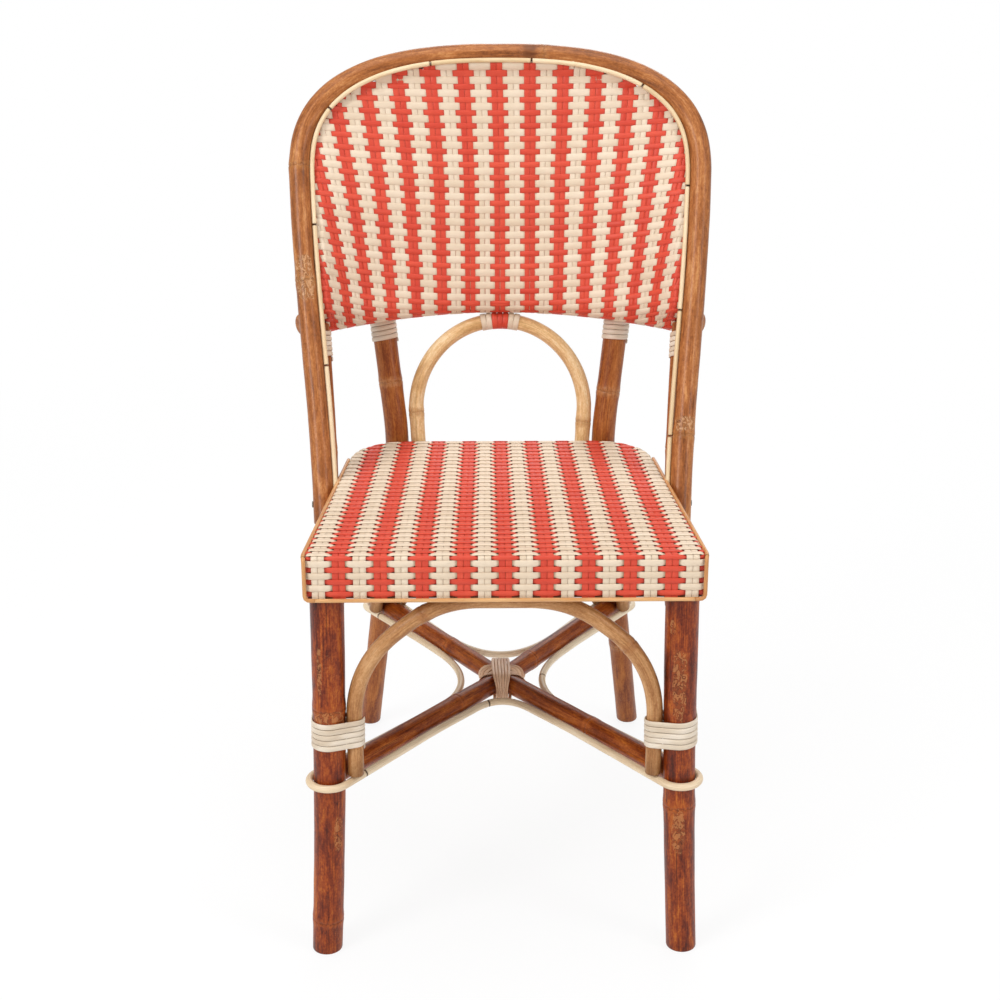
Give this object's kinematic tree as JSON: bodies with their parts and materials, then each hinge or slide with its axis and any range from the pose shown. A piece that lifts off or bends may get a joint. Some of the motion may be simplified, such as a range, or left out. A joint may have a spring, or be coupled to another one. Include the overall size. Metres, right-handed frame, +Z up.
{
  "type": "rattan bistro chair",
  "caption": "Armless side chair of bent rattan poles with a hooped open back, a woven back panel and seat, arches under the seat and crossed braces between the legs.",
  "frame": {"origin": "on the floor under the middle of the chair's outer box", "axes": "+X towards the right as seen from the front, +Y towards the back, +Z up"},
  "size_m": [0.468, 0.567, 0.8968],
  "materials": {
    "dark_pole": "lacquered rattan pole, satin",
    "hoop_pole": "lacquered rattan pole with nodes, satin",
    "light_pole": "natural rattan, satin",
    "pale_cane": "natural cane, satin",
    "piping": "honey cane, satin",
    "weave": "red and cream flat weave, satin",
    "cane_binding": "peeled cane, matt",
    "lashing": "thin cane strands, matt",
    "seat_frame": "plain wood, matt",
    "steel": "plain steel"
  },
  "bodies": {
    "root": {"front_leg_right": "dark_pole", "front_leg_left": "dark_pole", "rear_leg_right": "dark_pole", "rear_leg_left": "dark_pole", "side_post_right": "dark_pole", "side_post_left": "dark_pole", "brace_front": "dark_pole", "brace_rear": "dark_pole", "back_hoop": "hoop_pole", "inner_back_frame": "hoop_pole", "lower_back_rail": "hoop_pole", "back_arch": "light_pole", "front_arch": "light_pole", "right_arch": "light_pole", "left_arch": "light_pole", "rear_arch": "light_pole", "bead_1": "pale_cane", "bead_2": "pale_cane", "bead_3": "pale_cane", "bead_4": "pale_cane", "bead_5": "pale_cane", "bead_6": "pale_cane", "bead_7": "pale_cane", "bead_8": "pale_cane", "bead_9": "pale_cane", "bead_10": "pale_cane", "loop_rod_1": "pale_cane", "loop_rod_2": "pale_cane", "loop_rod_3": "pale_cane", "loop_rod_4": "pale_cane", "seat_piping_right": "piping", "seat_piping_left": "piping", "seat_piping_front": "piping", "back_weave": "weave", "seat_weave": "weave", "back_arch_tab": "weave", "binding_front_right": "cane_binding", "binding_front_left": "cane_binding", "binding_rear_right": "cane_binding", "binding_rear_left": "cane_binding", "leg_top_binding_right": "cane_binding", "leg_top_binding_left": "cane_binding", "post_binding_right": "cane_binding", "post_binding_left": "cane_binding", "brace_band": "lashing", "brace_strap": "lashing", "seat_rail_front": "seat_frame", "seat_rail_rear": "seat_frame", "seat_rail_left": "seat_frame", "seat_rail_right": "seat_frame", "hoop_screw_right": "steel", "hoop_screw_left": "steel"}
  },
  "joints": []
}
